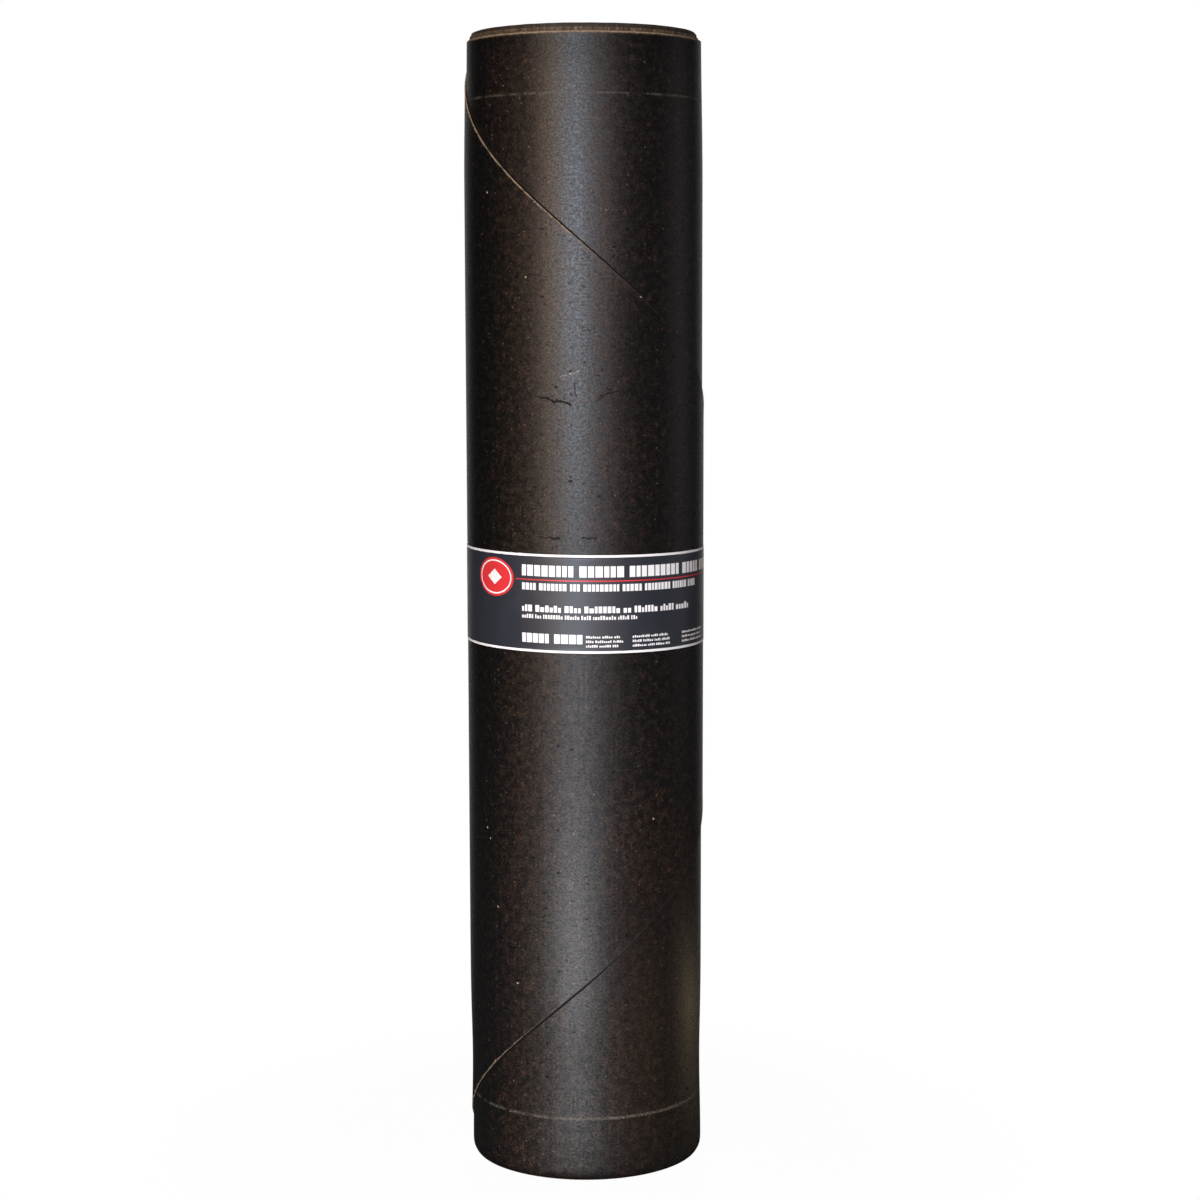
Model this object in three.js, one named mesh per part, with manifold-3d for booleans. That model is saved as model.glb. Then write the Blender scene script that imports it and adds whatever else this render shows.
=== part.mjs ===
// A roll of asphalt-saturated roofing felt, stored on its end: one sheet wound on itself without a core, with
// its tail cut to a tongue, and a printed paper band glued round its middle.
//
// Millimetres and degrees, +Z up. The origin is on the roll's axis, at the level it stands on. An azimuth is
// measured round the axis from the front (-Y) towards the right (+X), and a turn is a place along the wound
// sheet, counted in whole and part turns from its inner end.

import * as THREE from "three";
import { mergeVertices } from "three/addons/utils/BufferGeometryUtils.js";
import Module from "manifold-3d";

// The sheet and how it is wound.
const SHEET_WIDTH = 914.4;
const PLY_THICKNESS = 1.27; // one thickness of felt with its share of air
const BORE_RADIUS = 25;
const TURNS = 56.4;
const EDGE_WEAR = 0.4; // the bevel on a ply's outer corners

// The tail: the sheet's last stretch, with both corners cut off along a mitre down to a blunt tip.
const TIP_AZIMUTH = 165;
const TIP_WIDTH = 108;
const MITRE_ANGLE = 40.5; // between a mitre and the way the sheet runs

// The ends. The sheet wandered as it was wound, so its outer turns stand lower than the ones inside them.
const FLUSH_TURNS = 2; // the outermost turns, level with each other and with the floor
const STEPPED_TURNS = 3; // the turns inside them, each one step higher than the last
const SLIP = 7; // how far the outermost turns stand below the inner ones
const RING_TURNS = 3; // the inner turns show as rings of this many
const RING_RELIEF = 0.8; // how far every second ring stands back

// The paper band.
const BAND_WIDTH = 78;
const BAND_RAISE = 13; // how far the band's middle lies above the sheet's
const BAND_PAPER = 0.2;
const BAND_CLEARANCE = 0.3; // between the felt and the paper
const BAND_SKEW = 1; // how far the band sits low on the right and high on the left
const LAP_AZIMUTH = 205;
const LAP_LENGTH = 30;

const FACETS = 60; // round one turn
const BOND = 0.05; // how deep two solids of one piece reach into each other before they are joined

const ROLL_RADIUS = BORE_RADIUS + (TURNS + 1) * PLY_THICKNESS;
const TURN_LENGTH = 2 * Math.PI * ROLL_RADIUS;
const MITRE_SLOPE = Math.tan(THREE.MathUtils.degToRad(MITRE_ANGLE));
const SHEET_MIDDLE = SHEET_WIDTH / 2;

const wasm = await Module();
wasm.setup();

// ---- Geometry helpers ----

// A point given by its distance from the axis, its azimuth and its height.
function pointAt(radius, azimuth, height) {
  const angle = THREE.MathUtils.degToRad(azimuth);
  return [radius * Math.sin(angle), -radius * Math.cos(angle), height];
}

// A solid lofted through convex sections with the same number of points each. A closed loft runs back into
// its first section, and an open one has a flat cap at each end.
function loft(sections, closed = false) {
  const corners = sections[0].length;
  const index = [];
  const spans = closed ? sections.length : sections.length - 1;
  for (let i = 0; i < spans; i++) {
    const here = i * corners;
    const next = ((i + 1) % sections.length) * corners;
    for (let j = 0; j < corners; j++) {
      const k = (j + 1) % corners;
      index.push(here + j, next + j, next + k, here + j, next + k, here + k);
    }
  }
  const last = (sections.length - 1) * corners;
  for (let j = 1; !closed && j < corners - 1; j++) {
    index.push(0, j, j + 1);
    index.push(last, last + j + 1, last + j);
  }
  const geometry = new THREE.BufferGeometry();
  geometry.setAttribute("position", new THREE.Float32BufferAttribute(sections.flat(2), 3));
  geometry.setIndex(index);
  return geometry;
}

function toSolid(geometry) {
  const bare = geometry.clone();
  bare.deleteAttribute("normal");
  bare.deleteAttribute("uv");
  const merged = mergeVertices(bare, 1e-4);
  const vertProperties = new Float32Array(merged.attributes.position.array);
  const triVerts = new Uint32Array(merged.index.array);
  return new wasm.Manifold(new wasm.Mesh({ numProp: 3, vertProperties, triVerts }));
}

// Several overlapping solids as the geometry of one.
function joined(geometries) {
  const whole = geometries.map(toSolid).reduce((sum, solid) => sum.add(solid));
  const { vertProperties, triVerts } = whole.getMesh();
  const geometry = new THREE.BufferGeometry();
  geometry.setAttribute("position", new THREE.Float32BufferAttribute(vertProperties, 3));
  geometry.setIndex(new THREE.Uint32BufferAttribute(triVerts, 1));
  return geometry;
}

function makeMesh(name, geometry, material) {
  const flat = geometry.toNonIndexed(); // each facet keeps its own normal, so edges show as edges
  flat.computeVertexNormals();
  const mesh = new THREE.Mesh(flat, material);
  mesh.name = name;
  return mesh;
}

// ---- The wound sheet ----

// The sheet's outer face at a turn, and where round the axis that turn lies.
const faceRadius = (turn) => BORE_RADIUS + (turn + 1) * PLY_THICKNESS;
const azimuthOf = (turn) => TIP_AZIMUTH - 360 * (TURNS - turn);

// The sheet's lower and upper edges at a turn. Near the tip they close in along the mitres.
function sheetEdges(turn) {
  const reach = TIP_WIDTH / 2 + (TURNS - turn) * TURN_LENGTH * MITRE_SLOPE;
  return [Math.max(0, SHEET_MIDDLE - reach), Math.min(SHEET_WIDTH, SHEET_MIDDLE + reach)];
}

// The turn where the two mitres leave the sheet's edges.
const mitreStart = TURNS - (SHEET_MIDDLE - TIP_WIDTH / 2) / MITRE_SLOPE / TURN_LENGTH;

// One turn of the sheet, from the given turn on, as a ply with bevelled outer corners. A ply also has a
// section where the ply over it starts its mitres, so that the two lie facet on facet.
function windPly(first) {
  const evenly = Array.from({ length: FACETS + 1 }, (_, i) => first + i / FACETS);
  const corners = [mitreStart, mitreStart - 1].filter((turn) => turn > first && turn < first + 1);
  const stations = [...new Set([...evenly, ...corners])].sort((a, b) => a - b);
  return loft(
    stations.map((turn) => {
      const outer = faceRadius(turn);
      const inner = outer - PLY_THICKNESS - BOND;
      const [low, high] = sheetEdges(turn);
      const section = [
        [inner, low],
        [outer - EDGE_WEAR, low],
        [outer, low + EDGE_WEAR],
        [outer, high - EDGE_WEAR],
        [outer - EDGE_WEAR, high],
        [inner, high],
      ];
      return section.map(([radius, height]) => pointAt(radius, azimuthOf(turn), height));
    }),
  );
}

// The first turn, inside the bore: it starts as a full ply at the sheet's inner end and fades into the bore's
// wall.
function windInnerEnd() {
  const wall = faceRadius(0) + BOND;
  const stations = Array.from({ length: FACETS + 1 }, (_, i) => i / FACETS);
  return loft(
    stations.map((turn) => {
      const inner = faceRadius(turn) - PLY_THICKNESS;
      const azimuth = azimuthOf(turn);
      return [
        pointAt(inner, azimuth, SLIP),
        pointAt(wall, azimuth, SLIP),
        pointAt(wall, azimuth, SLIP + SHEET_WIDTH),
        pointAt(inner, azimuth, SLIP + SHEET_WIDTH),
      ];
    }),
  );
}

// The rings that the ends of the turned body show, from the outside in: each one's outer radius and its lift,
// which is how far its lower edge stands above the floor.
function endRings() {
  const rings = [];
  let outer = ROLL_RADIUS - FLUSH_TURNS * PLY_THICKNESS;
  for (let i = 1; i <= STEPPED_TURNS; i++) {
    rings.push({ outer, lift: (SLIP * i) / (STEPPED_TURNS + 1) });
    outer -= PLY_THICKNESS;
  }
  for (let i = 0; outer > faceRadius(0) + PLY_THICKNESS; i++) {
    rings.push({ outer, lift: SLIP - RING_RELIEF * (i % 2) });
    outer -= RING_TURNS * PLY_THICKNESS;
  }
  return rings;
}

// The body of the roll as one turned solid with its bore. The sheet has one width, so the upper end repeats
// the steps of the lower one.
function turnBody() {
  const rings = endRings();
  const lower = rings.flatMap(({ outer, lift }, i) => {
    const inner = i + 1 < rings.length ? rings[i + 1].outer : faceRadius(0);
    return [new THREE.Vector2(outer, lift), new THREE.Vector2(inner, lift)];
  });
  const upper = lower.map(({ x, y }) => new THREE.Vector2(x, y + SHEET_WIDTH));
  const profile = [...lower.reverse(), ...upper, lower[0]];
  const start = THREE.MathUtils.degToRad(TIP_AZIMUTH);
  return new THREE.LatheGeometry(profile, FACETS, start, 2 * Math.PI).rotateX(Math.PI / 2);
}

function makeFeltRoll() {
  const outerTurns = Array.from({ length: FLUSH_TURNS }, (_, i) => windPly(TURNS - 1 - i));
  return joined([turnBody(), ...outerTurns, windInnerEnd()]);
}

// ---- The paper band ----

// The paper follows the felt's outer face. At the tip it runs straight from the tip's corner, as a tangent,
// down to the turn below.
const BELOW_TIP = ROLL_RADIUS - PLY_THICKNESS;
const BRIDGE_ANGLE = THREE.MathUtils.radToDeg(Math.acos(BELOW_TIP / ROLL_RADIUS));

function bandRadius(pastTip) {
  const angle = ((pastTip % 360) + 360) % 360;
  if (angle < BRIDGE_ANGLE) {
    return BELOW_TIP / Math.cos(THREE.MathUtils.degToRad(BRIDGE_ANGLE - angle)) + BAND_CLEARANCE;
  }
  return BELOW_TIP + PLY_THICKNESS * (angle / 360) + BAND_CLEARANCE;
}

// A rectangle of paper between two depths over the felt, at an angle past the tip.
function paperSection(pastTip, near, far) {
  const azimuth = TIP_AZIMUTH + pastTip;
  const skewed = BAND_RAISE - BAND_SKEW * Math.sin(THREE.MathUtils.degToRad(azimuth));
  const middle = SHEET_MIDDLE + skewed;
  const low = middle - BAND_WIDTH / 2;
  const high = middle + BAND_WIDTH / 2;
  const inner = bandRadius(pastTip) + near;
  const outer = bandRadius(pastTip) + far;
  return [
    pointAt(inner, azimuth, low),
    pointAt(outer, azimuth, low),
    pointAt(outer, azimuth, high),
    pointAt(inner, azimuth, high),
  ];
}

// The band's end is glued over its start: a second thickness of paper, whose sections are shared with the
// ring's. The ring has a section over the mitres' start too, where the felt has one.
function makePaperBand() {
  const lapStart = LAP_AZIMUTH - TIP_AZIMUTH;
  const lapEnd = lapStart + (360 * LAP_LENGTH) / TURN_LENGTH;
  const evenly = Array.from({ length: FACETS }, (_, i) => (360 * i) / FACETS);
  const beyondTip = evenly.filter((angle) => angle > BRIDGE_ANGLE);
  const overMitres = 360 * (1 - TURNS + mitreStart);
  const marks = [0, BRIDGE_ANGLE, lapStart, lapEnd, overMitres, ...beyondTip];
  const around = [...new Set(marks)].sort((a, b) => a - b);
  const ring = loft(
    around.map((angle) => paperSection(angle, 0, BAND_PAPER)),
    true,
  );
  const along = around.filter((angle) => angle >= lapStart && angle <= lapEnd);
  const lap = loft(along.map((angle) => paperSection(angle, BAND_PAPER - BOND, 2 * BAND_PAPER)));
  return joined([ring, lap]);
}

// ---- The roll ----

const felt = new THREE.MeshStandardMaterial({ color: 0x2b2622, roughness: 0.6, metalness: 0 });
const paper = new THREE.MeshStandardMaterial({ color: 0x2e3033, roughness: 0.45, metalness: 0 });

const roll = new THREE.Group();
roll.add(makeMesh("felt_roll", makeFeltRoll(), felt));
roll.add(makeMesh("paper_band", makePaperBand(), paper));

export default roll;
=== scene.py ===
from math import acos, cos, degrees, pi, radians, sin, tan

import bpy
import numpy as np
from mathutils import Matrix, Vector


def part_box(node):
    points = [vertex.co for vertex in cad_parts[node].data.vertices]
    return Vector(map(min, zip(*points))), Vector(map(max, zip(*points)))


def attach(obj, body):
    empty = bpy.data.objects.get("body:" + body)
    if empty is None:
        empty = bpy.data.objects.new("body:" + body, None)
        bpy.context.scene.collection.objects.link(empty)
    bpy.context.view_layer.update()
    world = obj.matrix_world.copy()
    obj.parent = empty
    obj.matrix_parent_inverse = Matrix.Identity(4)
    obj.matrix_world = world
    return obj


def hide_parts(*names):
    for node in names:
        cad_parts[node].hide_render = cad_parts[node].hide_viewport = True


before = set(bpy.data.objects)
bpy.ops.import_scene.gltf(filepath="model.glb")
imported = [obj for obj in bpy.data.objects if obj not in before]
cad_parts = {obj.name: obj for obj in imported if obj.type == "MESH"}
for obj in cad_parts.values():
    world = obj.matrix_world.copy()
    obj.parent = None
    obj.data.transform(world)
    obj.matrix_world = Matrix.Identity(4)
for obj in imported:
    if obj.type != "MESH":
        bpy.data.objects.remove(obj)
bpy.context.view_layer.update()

# ---- The outer turns ----
# The roll is one long sheet of organic felt, a thick soft paper of wood and rag fibre soaked through with
# hot asphalt. It is wound tight on itself without a core. Its last stretch is a tongue, with both corners cut
# off on a mitre.

SHEET_WIDTH = 0.9144
PLY = 0.00127
BORE_RADIUS = 0.025
TURNS = 56.4
TIP_AZIMUTH = 165.0
TIP_WIDTH = 0.108
MITRE_ANGLE = 40.5
ROLL_RADIUS = BORE_RADIUS + (TURNS + 1) * PLY
TURN_LENGTH = 2 * pi * ROLL_RADIUS
SHEET_MIDDLE = SHEET_WIDTH / 2
MITRE_SLOPE = tan(radians(MITRE_ANGLE))

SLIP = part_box("felt_roll")[1][2] - SHEET_WIDTH  # how far the outer turns stand below the inner ones
FLUSH_TURNS = 1.7  # the outermost turns, which stay level with each other
CONE_TURNS = 5.2  # counted from outside, where the edges have climbed by the whole slip
STRAY = 0.0011  # how far an inner turn may stand back from its neighbours
FRAY = 0.00010  # how far a cut edge wanders
WAIST = 0.0012  # how far the roll draws in over its foot, and the height and reach of that
WAIST_HEIGHT = 0.078
WAIST_REACH = 0.045
SHOULDER = 0.0017  # how far it draws in at its top, and the heights between which that sets in
SHOULDER_HEIGHTS = (0.80, 0.93)
FOOT_ROUNDING = 0.0026  # how far in its foot's corner starts, and how high up the corner reaches
FOOT_CORNER = 0.0028
UNEVENNESS = 0.00022
CURL = 0.00035  # how far the mitred edges lift off the turn below, and how far in from the edge
CURL_REACH = 0.007
FLAP_AZIMUTH = -12.7  # a frayed corner that stands off the lower mitre
FLAP_LIFT = 0.0009
FLAP_REACH = 2.2  # in degrees
WORN = 0.0005  # how far the fibre shows through beside a cut edge: at the foot, at the top and on a mitre
WORN_TOP = 0.0017
WORN_MITRE = 0.0014
MITRE_BLEND = 0.03  # how far the edge has left the sheet's full width where a mitre's own wear is full
BEVEL = 0.00025  # how far the corners of a cut edge are rounded, on the ply's inner and outer side
OUTER_BEVEL = 0.00010
GAP = 0.16  # the share of a ply's thickness that is air on its inner side
GROOVE = 0.0016  # how deep the gap between two turns shows on an end
SHOWN_TURNS = 1.85  # how much of the sheet's end shows its face
STATIONS = 240  # round one turn
FACE_ROWS = 112
# How far in from each edge the face's closer rows lie.
EDGE_ROWS = (0.00035, 0.0006, 0.001, 0.0016, 0.0024, 0.0035, 0.005, 0.007, 0.01, 0.014, 0.02)

LAY_LINES = ((0.0515, 0.0011, 0.9), (0.8674, 0.0006, 0.7))  # height on the sheet, blur and strength
CHALK_WIDTH = 0.0012
# Two upright stretches at fixed azimuths: the brown one is painted warm light from the left, and the black
# one by the left edge is painted shade.
PAINTED_LIGHT_STRETCH = (-27.0, 0.030)  # the azimuth of the middle of the brownest stretch, and half its width
PAINTED_SHADE_STRETCH = (-72.0, 0.030)  # and of the blackest
LIT_UPPER_MITRE = (14.0, -12.0)  # the azimuths between which a mitre's edge goes from painted shade to its lit colour
LIT_LOWER_MITRE = (-12.0, -55.0)
SOOTY_TURN = 5.3  # counted from outside: the turns round it have edges that are black with asphalt
STRETCH_BLUR = 0.04


def azimuth_of(turn):
    """The azimuth in degrees of a place on the sheet: TIP_AZIMUTH - 360 (TURNS - turn)."""
    return TIP_AZIMUTH - 360 * (TURNS - turn)


def turn_at(azimuth):
    """The turn at an azimuth on the sheet's last turn."""
    return TURNS - (TIP_AZIMUTH - azimuth) / 360


def left_to_tip(turn):
    """The sheet's length between a turn and the tip: 2 pi (r + PLY (TURNS + turn) / 2) (TURNS - turn), where
    r is the radius of the middle of the ply where the sheet starts."""
    return 2 * pi * (BORE_RADIUS + PLY / 2 + PLY * (TURNS + turn) / 2) * (TURNS - turn)


def smooth(low, high, value):
    """3 x^2 - 2 x^3, where x runs from 0 at low to 1 at high."""
    x = np.clip((value - low) / (high - low), 0, 1)
    return x * x * (3 - 2 * x)


def wander(seed, period, value):
    """A random line between -1 and 1: sines of period / 1, 2, ... 6, each with its own phase and a weight of
    1 / its number. The weights add up to 2.45."""
    phases = np.random.default_rng(seed).uniform(0, 2 * pi, 6)
    sines = [np.sin(2 * pi * k * value / period + phases[k - 1]) / k for k in range(1, 7)]
    return sum(sines) / 2.45


def edge_lift(turn):
    """How far the sheet's lower edge stands over the floor: the slip, up a smooth step from the outer turns
    to the inner ones, less the little by which an inner turn strayed."""
    cone = smooth(FLUSH_TURNS, CONE_TURNS, TURNS - turn)
    stray = 0.5 + 0.3 * wander(3, 11.0, turn) + 0.2 * wander(4, 1.9, turn)
    return cone * (SLIP - STRAY * stray) + FRAY * cone * wander(5, 0.13, turn)


def sheet_edges(turn):
    """The sheet's lower and upper edges. Near the tip they lie TIP_WIDTH / 2 + s MITRE_SLOPE from its middle,
    where s is the length left to the tip."""
    reach = TIP_WIDTH / 2 + (TURNS - turn) * TURN_LENGTH * MITRE_SLOPE
    low = np.maximum(0, SHEET_MIDDLE - reach)
    high = np.minimum(SHEET_WIDTH, SHEET_MIDDLE + reach)
    return low + edge_lift(turn), high + edge_lift(turn)


def groove_floors(turn):
    """How high the groove between a turn and the next one out starts at the lower end, and ends at the upper
    end: GROOVE behind the one of their two edges that stands further back."""
    low, high = sheet_edges(turn)
    next_low, next_high = sheet_edges(np.minimum(turn + 1, TURNS))
    return np.maximum(low, next_low) + GROOVE, np.minimum(high, next_high) - GROOVE


def placed(radius, azimuth, height):
    """Points at (r sin a, -r cos a, z). The roll's own faults are taken off the radius: it draws in by a bell
    curve over its foot and by a smooth step at its top, its foot's corner is rounded by e^(-(z / size)^1.3),
    and two crossed waves make its face uneven. They fade towards the axis with the cube of the radius."""
    turned = np.radians(azimuth)
    drawn_in = WAIST * np.exp(-(((height - WAIST_HEIGHT) / WAIST_REACH) ** 2))
    drawn_in = drawn_in + SHOULDER * smooth(*SHOULDER_HEIGHTS, height)
    corner = np.exp(-((np.maximum(height, 0) / FOOT_CORNER) ** 1.3))
    uneven = 0.5 + 0.5 * np.sin(2 * turned + 1.3 + 5 * height) * np.sin(7 * height + 0.6 - 3 * turned)
    faults = drawn_in + FOOT_ROUNDING * corner + UNEVENNESS * uneven
    r = radius - faults * (radius / ROLL_RADIUS) ** 3
    return np.stack(np.broadcast_arrays(r * np.sin(turned), -r * np.cos(turned), height), -1)


def add_grid(name, points, sheet=None, marks=None, ring=False):
    """An object of the quads between neighbours on a grid of points, whose last row meets the first in a
    ring. The points' places on the sheet go into the UV map "sheet", and each set of marks, which holds a
    number for every point, into an attribute of its name."""
    rows, columns = points.shape[:2]
    row = np.arange(rows if ring else rows - 1)[:, None]
    column = np.arange(columns - 1)[None, :]
    here, there = row * columns + column, (row + 1) % rows * columns + column
    corners = np.stack([here, there, there + 1, here + 1], -1).reshape(-1, 4)
    return add_quads(name, points.reshape(-1, 3), corners, sheet, marks)


def add_quads(name, points, corners, sheet=None, marks=None):
    """An object of quads, given by the numbers of their corners."""
    mesh = bpy.data.meshes.new(name)
    mesh.vertices.add(len(points))
    mesh.vertices.foreach_set("co", points.astype(np.float32).ravel())
    mesh.loops.add(corners.size)
    mesh.loops.foreach_set("vertex_index", corners.astype(np.int32).ravel())
    mesh.polygons.add(len(corners))
    mesh.polygons.foreach_set("loop_start", np.arange(0, corners.size, 4, dtype=np.int32))
    mesh.update(calc_edges=True)
    mesh.polygons.foreach_set("use_smooth", np.ones(len(corners), dtype=bool))
    if sheet is not None:
        layer = mesh.uv_layers.new(name="sheet")
        layer.uv.foreach_set("vector", sheet.reshape(-1, 2)[corners.ravel()].astype(np.float32).ravel())
    for mark, values in (marks or {}).items():
        layer = mesh.attributes.new(mark, "FLOAT", "POINT")
        layer.data.foreach_set("value", values.astype(np.float32).ravel())
    made = bpy.data.objects.new(name, mesh)
    bpy.context.collection.objects.link(made)
    return made


def outer_turns():
    """The sheet's last turns, as a strip of sections along it. A section starts in the groove on the inner
    side, runs round the lower edge, up the outer face and round the upper edge, and ends in the groove. Its
    points lie at BORE_RADIUS + (turn + their share of the ply) PLY. Cut marks the worn edges, as e to the
    power of minus the distance from the edge over the wear's width. Mitred edges lift by CURL, and by
    FLAP_LIFT where a corner is frayed, which fades away from the edge in the same way."""
    mitre_start = TURNS - (SHEET_MIDDLE - TIP_WIDTH / 2) / MITRE_SLOPE / TURN_LENGTH
    beside_tip = TURNS - 0.001
    even = np.linspace(TURNS - SHOWN_TURNS, TURNS, round(SHOWN_TURNS * STATIONS) + 1)
    turn = np.unique(np.append(even, [mitre_start, beside_tip]))[:, None]
    low, high = sheet_edges(turn)
    floor_low, floor_high = groove_floors(turn - 1)
    under_low, under_high = np.maximum(floor_low, low + GROOVE), np.minimum(floor_high, high - GROOVE)

    near = np.array(EDGE_ROWS)
    inner_low, inner_high = low + near[-1], high - near[-1]
    middle = inner_low + np.linspace(0, 1, FACE_ROWS)[None, 1:-1] * (inner_high - inner_low)
    share = [0, GAP, GAP, GAP + 0.14, 0.74, 0.92]  # through the ply, round its edge
    lower = [under_low, under_low, low + BEVEL, low, low, low + OUTER_BEVEL]
    upper = [high - OUTER_BEVEL, high, high, high - BEVEL, under_high, under_high]
    height = np.hstack([*lower, low + near, middle, high - near[::-1], *upper])
    thick = np.array(share + [1] * (height.shape[1] - 2 * len(share)) + share[::-1])[None, :]

    mitred_low = smooth(0.0, MITRE_BLEND, low - edge_lift(turn))
    mitred_high = smooth(0.0, MITRE_BLEND, SHEET_WIDTH + edge_lift(turn) - high)
    worn_low = WORN + (WORN_MITRE - WORN) * mitred_low
    worn_high = WORN_TOP + (WORN_MITRE - WORN_TOP) * mitred_high
    cut = np.exp(-np.minimum((height - low) / worn_low, (high - height) / worn_high)) * (thick > GAP)
    cut = np.maximum(cut, np.exp(-left_to_tip(turn) / WORN_MITRE))
    curl = CURL * (0.6 + 0.4 * wander(8, 0.31, turn))
    flap = FLAP_LIFT * np.exp(-(((azimuth_of(turn) - FLAP_AZIMUTH) / FLAP_REACH) ** 2))
    lift = (curl + flap) * mitred_low * np.exp(-np.abs(height - low) / CURL_REACH)
    lift = lift + curl * mitred_high * np.exp(-np.abs(height - high) / CURL_REACH)
    radius = BORE_RADIUS + (turn + thick) * PLY + lift * (thick > 0)

    # The tip's cut face: the last section again, at the ply's inner side.
    azimuth = azimuth_of(turn) + 0 * height
    sheet = np.stack([left_to_tip(turn) + 0 * height, height - edge_lift(turn)], -1)
    last = [radius[-1:] * 0 + BORE_RADIUS + TURNS * PLY, azimuth[-1:], height[-1:]]
    points = np.concatenate([placed(radius, azimuth, height), placed(*last)])
    sheet = np.concatenate([sheet, sheet[-1:]])
    cut = np.concatenate([cut, cut[-1:] * 0 + 1])
    wound = TURNS - np.concatenate([turn, turn[-1:]]) + 0 * cut
    return add_grid("outer_turns", points, sheet, {"cut": cut, "wound": wound})


class Wire:
    """A socket of a material that takes part in expressions: + - * / and abs add Math nodes."""

    def __init__(self, tree, socket=None):
        self.tree = tree
        self.socket = socket

    def node(self, kind, settings, inputs, output=0):
        """An output of a new node. Its settings come first, and then its inputs' values or links."""
        made = self.tree.nodes.new("ShaderNode" + kind)
        for name, value in settings.items():
            setattr(made, name, value)
        for name, value in inputs.items():
            if isinstance(value, Wire):
                self.tree.links.new(value.socket, made.inputs[name])
            else:
                made.inputs[name].default_value = value
        return Wire(self.tree, made.outputs[output] if made.outputs else None)

    def math(self, operation, *values):
        return self.node("Math", {"operation": operation}, dict(enumerate(values)))

    def __add__(self, other):
        return self.math("ADD", self, other)

    def __sub__(self, other):
        return self.math("SUBTRACT", self, other)

    def __rsub__(self, other):
        return self.math("SUBTRACT", other, self)

    def __mul__(self, other):
        return self.math("MULTIPLY", self, other)

    def __truediv__(self, other):
        return self.math("DIVIDE", self, other)

    def __abs__(self):
        return self.math("ABSOLUTE", self)

    __radd__ = __add__
    __rmul__ = __mul__

    def rising(self, low, high):
        """0 at low, 1 at high and a smooth step between them."""
        return self.node(
            "MapRange",
            {"interpolation_type": "SMOOTHSTEP"},
            {"Value": self, "From Min": low, "From Max": high},
        )

    def near(self, place, reach, blur):
        """1 within reach of a place, falling to 0 over blur."""
        return abs(self - place).rising(reach + blur, reach)

    def either(self, other):
        """The larger of two masks."""
        return self.math("MAXIMUM", self, other)

    def tint(self, off, on):
        """The colour off where this mask is 0, and on where it is 1."""
        return self.node("Mix", {"data_type": "RGBA"}, {0: self, 6: off, 7: on}, 2)

    def times(self, number):
        """This colour or vector times a number."""
        return self.node("VectorMath", {"operation": "SCALE"}, {0: self, "Scale": number})

    def stretched(self, factors):
        """This vector times a vector."""
        return self.node("VectorMath", {"operation": "MULTIPLY"}, {0: self, 1: factors})

    def part(self, index):
        """A vector's first, second or third part."""
        return self.node("SeparateXYZ", {}, {0: self}, index)

    def noise(self, size, detail=2.0, roughness=0.5):
        """Noise between 0 and 1 on these coordinates, with grains of this size in metres."""
        shape = {"Vector": self, "Scale": 1 / size, "Detail": detail, "Roughness": roughness}
        return self.node("TexNoise", {"noise_dimensions": "2D"}, shape)

    def swayed(self, size, reach):
        """These coordinates, moved to and fro by up to about reach by noise, which keeps within a quarter of
        its middle value of a half."""
        shape = {"Vector": self, "Scale": 1 / size, "Detail": 2.0}
        noise = self.node("TexNoise", {"noise_dimensions": "2D"}, shape, 1)
        off = self.node("VectorMath", {"operation": "SUBTRACT"}, {0: noise, 1: (0.5, 0.5, 0.5)})
        reaches = (4 * reach, 4 * reach, 0)
        return self.node("VectorMath", {"operation": "MULTIPLY_ADD"}, {0: off, 1: reaches, 2: self})

    def specks(self, spacing, radius, share):
        """Round specks of this radius, in a share of the cells of a Voronoi pattern."""
        cells = {"Vector": self, "Scale": 1 / spacing}
        flat = {"voronoi_dimensions": "2D"}
        pick = self.node("TexVoronoi", flat, cells, 1).part(0)
        spot = self.node("TexVoronoi", flat, cells).rising(radius / spacing, 0.5 * radius / spacing)
        return spot * pick.rising(1 - share, 1 - 0.6 * share)

    def spot(self, place, radius):
        """A round spot at a place on the sheet."""
        away = self.node("VectorMath", {"operation": "DISTANCE"}, {0: self, 1: (*place, 0)}, 1)
        return away.rising(radius, 0.5 * radius)

    def stroke(self, start, end, reach, blur):
        """A line from start to end on the sheet: 1 within reach of it, falling to 0 over blur. The nearest
        point of the line lies at the share (p - start) . run / run^2 of it, kept between 0 and 1."""
        run = (end[0] - start[0], end[1] - start[1], 0)
        run_squared = run[0] ** 2 + run[1] ** 2
        away = self.node("VectorMath", {"operation": "SUBTRACT"}, {0: self, 1: (*start, 0)})
        dot = away.node("VectorMath", {"operation": "DOT_PRODUCT"}, {0: away, 1: run}, 1)
        share = dot.node("Math", {"operation": "DIVIDE", "use_clamp": True}, {0: dot, 1: run_squared})
        foot = share.node("CombineXYZ", {}, {0: share * run[0], 1: share * run[1]})
        off = away.node("VectorMath", {"operation": "DISTANCE"}, {0: away, 1: foot}, 1)
        return off.rising(reach + blur, reach)


def shader_output(wire, shader, kind="OutputMaterial"):
    """Ends a material's nodes, or the world's."""
    wire.node(kind, {}, {"Surface": shader})


def new_material(name):
    """A material without nodes, and the wire that its nodes are made with."""
    material = bpy.data.materials.new(name)
    material.use_nodes = True
    material.node_tree.nodes.clear()
    return material, Wire(material.node_tree)


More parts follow.
